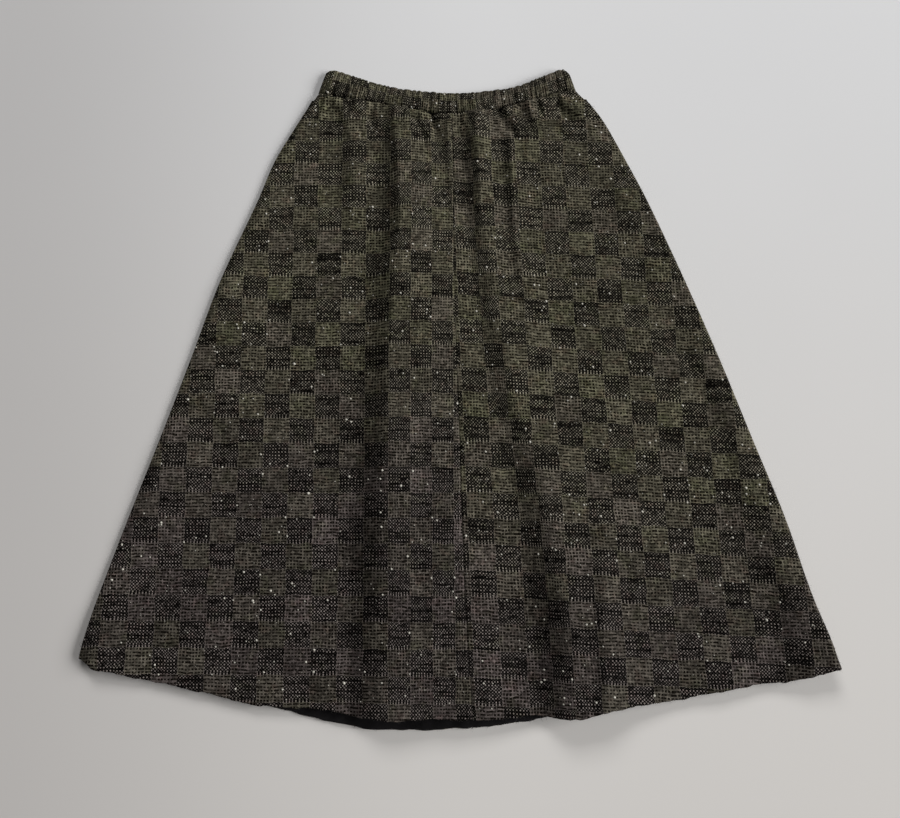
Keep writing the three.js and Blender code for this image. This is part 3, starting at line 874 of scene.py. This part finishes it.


def weave_of(t):
    """The weave's coordinates: threads that wander a little, the blocks that they lie in, and soft noises."""
    uv, across, along = t.cloth_coordinates()
    w = SimpleNamespace()
    sway_a = t.noise(uv, 1.7, 3.0)
    sway_b = t.noise(t.point(along, across, 3.1), 1.9, 3.0)
    w.a = t.add(across, t.mul(t.math("SUBTRACT", sway_a, 0.5), SWAY))
    w.b = t.add(along, t.mul(t.math("SUBTRACT", sway_b, 0.5), SWAY))
    w.block_a, w.block_b = t.math("FLOOR", w.a), t.math("FLOOR", w.b)
    thread_a, thread_b = t.mul(w.a, THREADS), t.mul(w.b, THREADS)
    w.wave_a, w.wave_b = t.wave(thread_a), t.wave(thread_b)
    w.on_a, w.on_b = t.math("FLOOR", t.add(thread_a, 0.5)), t.math("FLOOR", t.add(thread_b, 0.5))
    w.between_a, w.between_b = t.math("FLOOR", thread_a), t.math("FLOOR", thread_b)
    w.chance_1 = t.chance(w.block_a, w.block_b, 2.0)
    w.chance_2 = t.chance(w.block_a, w.block_b, 5.0)
    w.worn = t.noise(t.point(w.a, w.b, 6.0), 2.6, 3.0, 0.6)
    w.fuzz = t.noise(t.point(w.a, w.b), 26.0, 3.0, 0.7)
    # Towards the hem the cloth takes painted shade and its dots stand out more; in patches near the waist the
    # yarns look different.
    w.low = t.ramp(w.b, HEMWARD_FROM, HEMWARD_TO)
    patches = t.ramp(t.noise(t.point(w.a, w.b, 2.5), 0.55, 2.0), 0.3, 0.6)
    w.high = t.mul(patches, t.ramp(w.b, HEMWARD_FROM, HEMWARD_FROM + 5.0))
    return w


def pale_blocks(t, w):
    """Ribs across, with short dark dashes between them and light upright threads: height and colour."""
    depth = t.ramp(t.chance(w.between_a, w.between_b, 1.5), 0.0, 0.7, 0.35, 1.1, False)
    # In places the pale threads are thin, with more of the dark ground between them.
    thin = t.ramp(t.noise(t.point(w.a, w.b, 33.0), 0.5, 2.0), 0.42, 0.58)
    dash = t.mul(t.ramp(w.wave_b, t.mix(thin, 0.25, 0.85), t.mix(thin, -0.65, -0.1)), depth)
    joined_up = t.ramp(t.chance(w.on_a, w.between_b, 3.5), 0.6, 0.85, 0.0, 0.85)
    dash = t.mul(dash, t.math("MAXIMUM", joined_up, t.ramp(w.wave_a, 0.8, -0.1)))
    lump = t.ramp(t.chance(w.on_a, w.on_b, 8.5), 0.0, 1.0, 0.5, 1.68, False)
    rib = t.mul(t.mul(t.math("SUBTRACT", 1.0, dash), lump), t.mix(thin, 1.0, 1.25))
    picked = t.ramp(t.chance(w.on_a, w.block_b, 21.0), 0.35, 0.6)
    upright = t.mul(t.ramp(w.wave_a, 0.3, 0.95), picked)
    rib = t.math("MAXIMUM", rib, t.mul(t.mul(upright, thin), 0.95))
    at_edge = t.math("LESS_THAN", t.math("FRACT", w.a), 0.055)
    edge_line = t.mul(at_edge, t.math("GREATER_THAN", w.chance_2, 0.35))
    rib = t.math("MAXIMUM", rib, t.mul(edge_line, t.ramp(w.worn, 0.3, 0.6, 0.5, 1.4)))
    rib = t.mul(rib, t.mix(w.high, 1.0, 0.9))
    colour = t.mix_colour(t.ramp(w.chance_1, 0.45, 0.75), RIB, RIB_OLIVE)
    colour = t.mix_colour(t.ramp(w.chance_2, 0.55, 0.85), colour, RIB_PLUM)
    colour = t.mix_colour(t.mul(dash, t.mix(thin, 1.0, 0.75)), colour, GAP)
    return rib, t.mix_colour(1.0, t.scaled(colour, rib), GAP, "ADD")


def dark_blocks(t, w):
    """Rows of light dots with dimmer ones staggered between them, and black smears: height and colour."""
    both = t.mul(t.add(w.wave_a, w.wave_b), 0.5)
    main_size = t.ramp(t.chance(w.on_a, w.on_b, 0.5), 0.0, 1.0, 0.2, 1.4, False)
    main = t.mul(t.ramp(both, 0.3, 0.92), main_size)
    main = t.mul(main, t.ramp(t.chance(w.block_a, w.on_b, 7.0), 0.04, 0.1, 0.3, 1.0))
    main = t.mul(main, t.mix(w.low, 1.0, 1.65))
    dim_size = t.ramp(t.chance(w.between_a, w.between_b, 11.5), 0.0, 1.0, 0.12, 0.85, False)
    dim = t.mul(t.ramp(both, -0.25, -0.9), dim_size)
    dim = t.mul(dim, t.ramp(t.chance(w.block_a, w.between_b, 13.0), 0.3, 0.45, 0.25, 1.0))
    dim = t.mul(dim, t.mix(w.low, 0.95, 1.0))
    dim = t.mul(dim, t.mix(w.high, 1.0, 1.35))
    clouds = t.noise(t.point(t.mul(w.a, 1.5), t.mul(w.b, 5.5), 4.0), 1.0, 3.0, 0.6)
    smears = t.ramp(clouds, 0.34, 0.46, 0.15, 1.0)
    dot = t.mul(t.add(main, dim), t.mix(w.high, smears, 1.0))
    # At the foot of some blocks the dots draw out into short upright dashes.
    at_foot = t.math("LESS_THAN", t.math("FRACT", w.b), 0.075)
    dashed = t.mul(at_foot, t.math("GREATER_THAN", w.chance_2, 0.5))
    dot = t.mix(dashed, dot, t.mul(t.ramp(w.wave_a, 0.0, 0.8), 0.85))
    return dot, t.mix_colour(dot, GROUND, DOT)


def tweed():
    t = Tree("checked_tweed")
    w = weave_of(t)
    rib, pale_colour = pale_blocks(t, w)
    dot, dark_colour = dark_blocks(t, w)
    odd = t.math("FLOORED_MODULO", t.add(w.block_a, w.block_b), 2.0)
    pale = t.math("LESS_THAN", odd, 0.5)
    colour = t.mix_colour(pale, dark_colour, pale_colour)
    # Flecks of warmer and cooler dye in the yarn, its wear and its fuzz.
    for dye, seed, scale in ((WARM_DYE, 9.0, 2.1), (COOL_DYE, 19.0, 1.7)):
        flecks = t.noise(t.point(w.a, w.b, seed), scale, 3.0, 0.6)
        colour = t.mix_colour(t.ramp(flecks, 0.52, 0.68, 0.0, 0.7), colour, dye, "MULTIPLY")
    # Painted shade: the cloth darker and cooler towards the hem, lighter and warmer near the waist.
    colour = t.mix_colour(1.0, colour, t.mix_colour(w.low, WAIST_SHADE_TINT, HEM_SHADE_TINT), "MULTIPLY")
    fuzzy = t.ramp(w.fuzz, 0.3, 0.7, 0.49, 1.49, False)
    shade = t.mul(fuzzy, t.ramp(w.worn, 0.3, 0.7, 0.8, 1.2, False))
    block_shade = t.chance(w.block_a, w.block_b, 17.0)
    shade = t.mul(shade, t.ramp(block_shade, 0.0, 1.0, 0.84, 1.16, False))
    t.put(t.shader.inputs["Base Color"], t.scaled(colour, shade))
    t.shader.inputs["Roughness"].default_value = 0.7
    t.shader.inputs["Specular IOR Level"].default_value = 0.02
    height = t.add(t.mix(pale, dot, rib), t.mul(w.fuzz, 0.6))
    t.bump(height, 0.0008, 0.7)
    return t.material


FINE_THREADS = 34.0  # repeats of the facing's weave in 30 mm
FACING_DARK, FACING_LIGHT = (0.0045, 0.0038, 0.0042, 1), (0.009, 0.0078, 0.0085, 1)


def black_facing():
    t = Tree("black_facing")
    uv, across, along = t.cloth_coordinates()
    weave = t.mul(t.wave(t.mul(across, FINE_THREADS)), t.wave(t.mul(along, FINE_THREADS)))
    cloudy = t.noise(uv, 2.0, 3.0)
    colour = t.mix_colour(t.ramp(cloudy, 0.3, 0.7), FACING_DARK, FACING_LIGHT)
    t.put(t.shader.inputs["Base Color"], colour)
    t.shader.inputs["Roughness"].default_value = 0.62
    t.shader.inputs["Specular IOR Level"].default_value = 0.12
    t.shader.inputs["Sheen Weight"].default_value = 0.03
    t.bump(t.add(weave, t.mul(cloudy, 1.5)), 0.0001, 0.6)
    return t.material


def shaded_yarn(name, roughness):
    """Yarn whose colour is painted on each nub or fibre."""
    t = Tree(name)
    shade = t.nodes.new("ShaderNodeVertexColor")
    shade.layer_name = "shade"
    where = t.nodes.new("ShaderNodeTexCoord")
    grain = t.noise(where.outputs["Object"], 1800.0, 2.0)
    colour = t.scaled(shade.outputs[0], t.ramp(grain, 0.3, 0.7, 0.75, 1.2, False))
    t.put(t.shader.inputs["Base Color"], colour)
    t.shader.inputs["Roughness"].default_value = roughness
    t.shader.inputs["Specular IOR Level"].default_value = 0.2
    t.bump(grain, 0.0002, 0.5)
    return t.material


tweed_cloth = tweed()
facing_cloth = black_facing()
yarn = shaded_yarn("loose_yarn", 0.9)


# ------------ nubs and loose fibres
def random_places(grid, count, generator, margin=2):
    """Even over a grid's area: points with their normals and one tangent."""
    rows, columns = grid.shape[:2]
    corners = grid[margin : rows - margin, margin : columns - margin]
    a = corners[1:, :-1] - corners[:-1, :-1]
    b = corners[:-1, 1:] - corners[:-1, :-1]
    normal = np.cross(a, b)
    area = np.linalg.norm(normal, axis=2)
    normal = normal / area[:, :, None]
    share = (area / area.sum()).ravel()
    picked = generator.choice(share.size, count, p=share)
    r, c = np.unravel_index(picked, area.shape)
    s, t = generator.random((2, count, 1))
    place = corners[r, c] + a[r, c] * s + b[r, c] * t
    across = b[r, c] / np.linalg.norm(b[r, c], axis=1, keepdims=True)
    return place, normal[r, c], across


def ball_template(rings, sides):
    """A closed, round blob as unit points and quads."""
    points, faces = [], []
    for ring in range(rings + 1):
        angle = math.pi * (ring + 0.5) / (rings + 1)
        out, up = math.sin(angle), math.cos(angle)
        for side in range(sides):
            turn = 2 * math.pi * side / sides
            points.append((out * math.cos(turn), out * math.sin(turn), up))
    for ring in range(rings):
        for side in range(sides):
            after = (side + 1) % sides
            row, next_row = ring * sides, (ring + 1) * sides
            faces.append((row + side, next_row + side, next_row + after, row + after))
    top, last = 0, rings * sides
    for side in range(0, sides - 2, 2):
        faces.append((top, top + side + 1, top + side + 2, top + (side + 3) % sides))
        faces.append((last, last + (side + 3) % sides, last + side + 2, last + side + 1))
    return np.array(points), np.array(faces)


NUB_POINTS, NUB_FACES = ball_template(2, 6)


def nubs(name, placed, colours):
    """One mesh of lumpy nubs; placed is (place, normal, across, half lengths across, along and up)."""
    place, normal, across, size = placed
    along = np.cross(normal, across)
    axes = np.stack([across, along, normal], axis=1) * size[:, :, None]
    lumps = NUB_POINTS[None] * (1 + 0.22 * np.sin(7.0 * place[:, :1, None] + 3.0 * NUB_POINTS[None]))
    points = place[:, None, :] + np.einsum("nki,nij->nkj", lumps, axes)
    faces = NUB_FACES[None] + (np.arange(len(place)) * len(NUB_POINTS))[:, None, None]
    shades = np.repeat(colours, len(NUB_POINTS), axis=0)
    return build_mesh(name, points.reshape(-1, 3), faces.reshape(-1, 4), shades=shades)


NUB_TINT = np.array([1.0, 0.96, 0.84])
NUB_HALF, NUB_MORE = 0.5, 0.95  # half the length of the smallest nub, and what the biggest has more


def nub_set(grid, count, generator):
    """Places, sizes and colours of nubs on a grid: most are small, and the big ones are brighter."""
    place, normal, across = random_places(grid, count, generator)
    if normal[:, 2].mean() < 0:
        normal = -normal
    big = generator.random(count) ** 3.0
    length = NUB_HALF + NUB_MORE * big
    size = np.stack([length * (0.85 + 0.4 * generator.random(count)), length, 0.35 + 0.5 * big], axis=1)
    spin = generator.random(count) * math.pi
    side = np.cross(normal, across)
    across = across * np.cos(spin)[:, None] + side * np.sin(spin)[:, None]
    bright = 0.24 + 0.36 * big + 0.12 * generator.random(count)
    colours = np.concatenate([bright[:, None] * NUB_TINT, np.ones((count, 1))], axis=1)
    return (place + normal * 0.2, normal, across, size), colours


def joined(sets):
    placed = tuple(np.concatenate([s[0][i] for s in sets]) for i in range(4))
    return placed, np.concatenate([s[1] for s in sets])


FRONT_NUBS, CASING_NUBS = 850, 60  # on each half of the front, and on the casing
front_nubs = nubs(
    "cream_nubs",
    *joined([
        nub_set(left_grid, FRONT_NUBS, rng),
        nub_set(right_grid, FRONT_NUBS, rng),
        nub_set(casing_grid[:, 8:-8], CASING_NUBS, rng),
    ]),
)

FIBRE_JOINTS, FIBRE_SIDES = 5, 3
FIBRE_WIDTH = 0.09


def fibres(name, start, direction, curl, length, colours):
    """Thin three-sided hairs, each along a short curve."""
    t = np.linspace(0, 1, FIBRE_JOINTS)[None, :, None]
    path = start[:, None] + direction[:, None] * length[:, None, None] * t
    path = path + curl[:, None] * length[:, None, None] * t * t
    side = np.cross(direction, curl)
    side /= np.linalg.norm(side, axis=1, keepdims=True) + 1e-9
    other = np.cross(direction, side)
    thin = FIBRE_WIDTH * (1 - 0.75 * t)
    rings = []
    for k in range(FIBRE_SIDES):
        angle = 2 * math.pi * k / FIBRE_SIDES
        rings.append(path + thin * (side[:, None] * math.cos(angle) + other[:, None] * math.sin(angle)))
    points = np.stack(rings, axis=2)
    points[..., 2] = np.maximum(points[..., 2], 0.1)
    base = (np.arange(len(start)) * FIBRE_JOINTS * FIBRE_SIDES)[:, None, None]
    one = []
    for joint in range(FIBRE_JOINTS - 1):
        for k in range(FIBRE_SIDES):
            after = (k + 1) % FIBRE_SIDES
            row, next_row = joint * FIBRE_SIDES, (joint + 1) * FIBRE_SIDES
            one.append((row + k, row + after, next_row + after, next_row + k))
    faces = np.array(one)[None] + base
    shades = np.repeat(colours, FIBRE_JOINTS * FIBRE_SIDES, axis=0)
    return build_mesh(name, points.reshape(-1, 3), faces.reshape(-1, 4), shades=shades)


def edge_hairs(line, outward, count, generator):
    """Hairs that stand off an edge, given as points along it and the way out at each."""
    i = generator.integers(0, len(line) - 1, count)
    t = generator.random((count, 1))
    start = lerp(line[i], line[i + 1], t)
    out = lerp(outward[i], outward[i + 1], t)
    spread = generator.normal(size=(count, 3)) * 0.55
    direction = out + spread
    direction[:, 2] = np.abs(direction[:, 2]) * 0.5
    direction /= np.linalg.norm(direction, axis=1, keepdims=True)
    curl = generator.normal(size=(count, 3)) * 0.5
    curl[:, 2] = np.abs(curl[:, 2]) * 0.3
    length = 1.2 + 2.6 * generator.random(count) ** 2
    return start, direction, curl, length


def side_edge(grid, column, sign):
    """A side of a panel and the way out of it."""
    line = grid[:, column]
    out = np.zeros_like(line)
    out[:, 0] = sign
    return line, out


def hem_edge(grid):
    """A line just under the fold of a panel's hem, and the way out of it."""
    line = grid[-1] - np.array([0, 0, 1.0])
    out = np.zeros_like(line)
    out[:, 1] = -1.0
    return line, out


SIDE_HAIRS, HEM_HAIRS, FACE_HAIRS = 420, 260, 700

hair_parts = []
for edge, count in (
    (side_edge(left_grid, 0, -1.0), SIDE_HAIRS),
    (side_edge(right_grid, -1, 1.0), SIDE_HAIRS),
    (hem_edge(left_grid), HEM_HAIRS),
    (hem_edge(right_grid), HEM_HAIRS),
    (hem_edge(back_grid[:, 20:-20]), HEM_HAIRS),
):
    hair_parts.append(edge_hairs(*edge, count, rng))
on_faces = [random_places(grid, FACE_HAIRS, rng) for grid in (left_grid, right_grid)]
for where, up, _ in on_faces:
    up = np.where(up[:, 2:3] < 0, -up, up)
    direction = rng.normal(size=up.shape) + up * 0.6
    direction /= np.linalg.norm(direction, axis=1, keepdims=True)
    direction[:, 2] = np.abs(direction[:, 2]) * 0.7 + 0.15
    curl = -up * 0.4 + rng.normal(size=up.shape) * 0.3
    hair_parts.append((where, direction, curl, 1.0 + 2.2 * rng.random(len(up))))
start, direction, curl, length = (np.concatenate([part[i] for part in hair_parts]) for i in range(4))
grey = 0.02 + 0.22 * rng.random(len(start)) ** 2
hair_colours = np.stack([grey, grey * 0.97, grey * 0.9, np.ones_like(grey)], axis=1)
hairs = fibres("loose_fibres", start, direction, curl, length, hair_colours)

# ------------ finish and bodies
tweed_pieces = (front_left, front_right, back, waist_front, waist_back)
yarn_pieces = (front_nubs, hairs)
for piece in tweed_pieces:
    piece.data.materials.append(tweed_cloth)
facing.data.materials.append(facing_cloth)
for piece in yarn_pieces:
    piece.data.materials.append(yarn)

for piece in (*tweed_pieces, facing, *yarn_pieces):
    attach(piece, "root")

# ------------ floor, light and camera
FLOOR_SIZE, FLOOR_LEVEL = 8.0, -0.0002  # metres; just under the cloth
# The floor's colours near the hem and near the waist, each from left to right: painted shade, darker to the
# left, away from the light on the right
LOW_LEFT, LOW_RIGHT = (0.64, 0.615, 0.593, 1), (0.84, 0.81, 0.775, 1)
TOP_LEFT, TOP_RIGHT = (0.60, 0.588, 0.582, 1), (0.845, 0.845, 0.85, 1)


def pale_floor():
    t = Tree("pale_floor")
    where = t.nodes.new("ShaderNodeTexCoord").outputs["Object"]
    split = t.nodes.new("ShaderNodeSeparateXYZ")
    t.links.new(where, split.inputs[0])
    to_right = t.ramp(split.outputs[0], -0.62, 0.05)
    to_top = t.ramp(split.outputs[1], -0.55, 0.55)
    # Painted shade: the floor darker to the left
    low_side = t.mix_colour(to_right, LOW_LEFT, LOW_RIGHT)
    top_side = t.mix_colour(to_right, TOP_LEFT, TOP_RIGHT)
    grain = t.ramp(t.noise(where, 3.0, 2.0), 0.0, 1.0, 0.98, 1.02, False)
    t.put(t.shader.inputs["Base Color"], t.scaled(t.mix_colour(to_top, low_side, top_side), grain))
    t.shader.inputs["Roughness"].default_value = 0.85
    return t.material


bpy.ops.mesh.primitive_plane_add(size=FLOOR_SIZE, location=(0, 0, FLOOR_LEVEL))
floor = bpy.context.object
floor.name = "floor"
floor.data.materials.append(pale_floor())


def area_light(name, place, target, size, power):
    data = bpy.data.lights.new(name, "AREA")
    data.shape = "RECTANGLE"
    data.size, data.size_y = size
    data.energy = power
    light = bpy.data.objects.new(name, data)
    bpy.context.scene.collection.objects.link(light)
    light.location = place
    light.rotation_euler = (Vector(target) - Vector(place)).to_track_quat("-Z", "Y").to_euler()


# Metres and watts: a window past the waist, and a far, low light from the right that shows the folds
area_light("window", (-0.4, 5.0, 3.4), (-0.05, 0.1, 0.0), (3.5, 2.1), 160)
area_light("side", (19.8, -0.7, 9.13), (0.0, -0.15, 0.0), (16.7, 9.0), 5250)

ROOM_LIGHT = 0.07
world = bpy.data.worlds.new("room_light")
world.use_nodes = True
world.node_tree.nodes["Background"].inputs["Color"].default_value = (1, 1, 1, 1)
world.node_tree.nodes["Background"].inputs["Strength"].default_value = ROOM_LIGHT
bpy.context.scene.world = world

CAMERA_TILT = math.radians(11.14)  # from straight down
CAMERA_PLACE = (-9.4 * MM, -268.1 * MM, 1177.4 * MM)
camera_data = bpy.data.cameras.new("camera")
camera_data.lens = 40.0
camera_data.sensor_width = 36.0
camera = bpy.data.objects.new("camera", camera_data)
camera.location = CAMERA_PLACE
camera.rotation_euler = (CAMERA_TILT, 0, 0)
bpy.context.scene.collection.objects.link(camera)
bpy.context.scene.camera = camera
bpy.context.scene.view_settings.view_transform = "Standard"
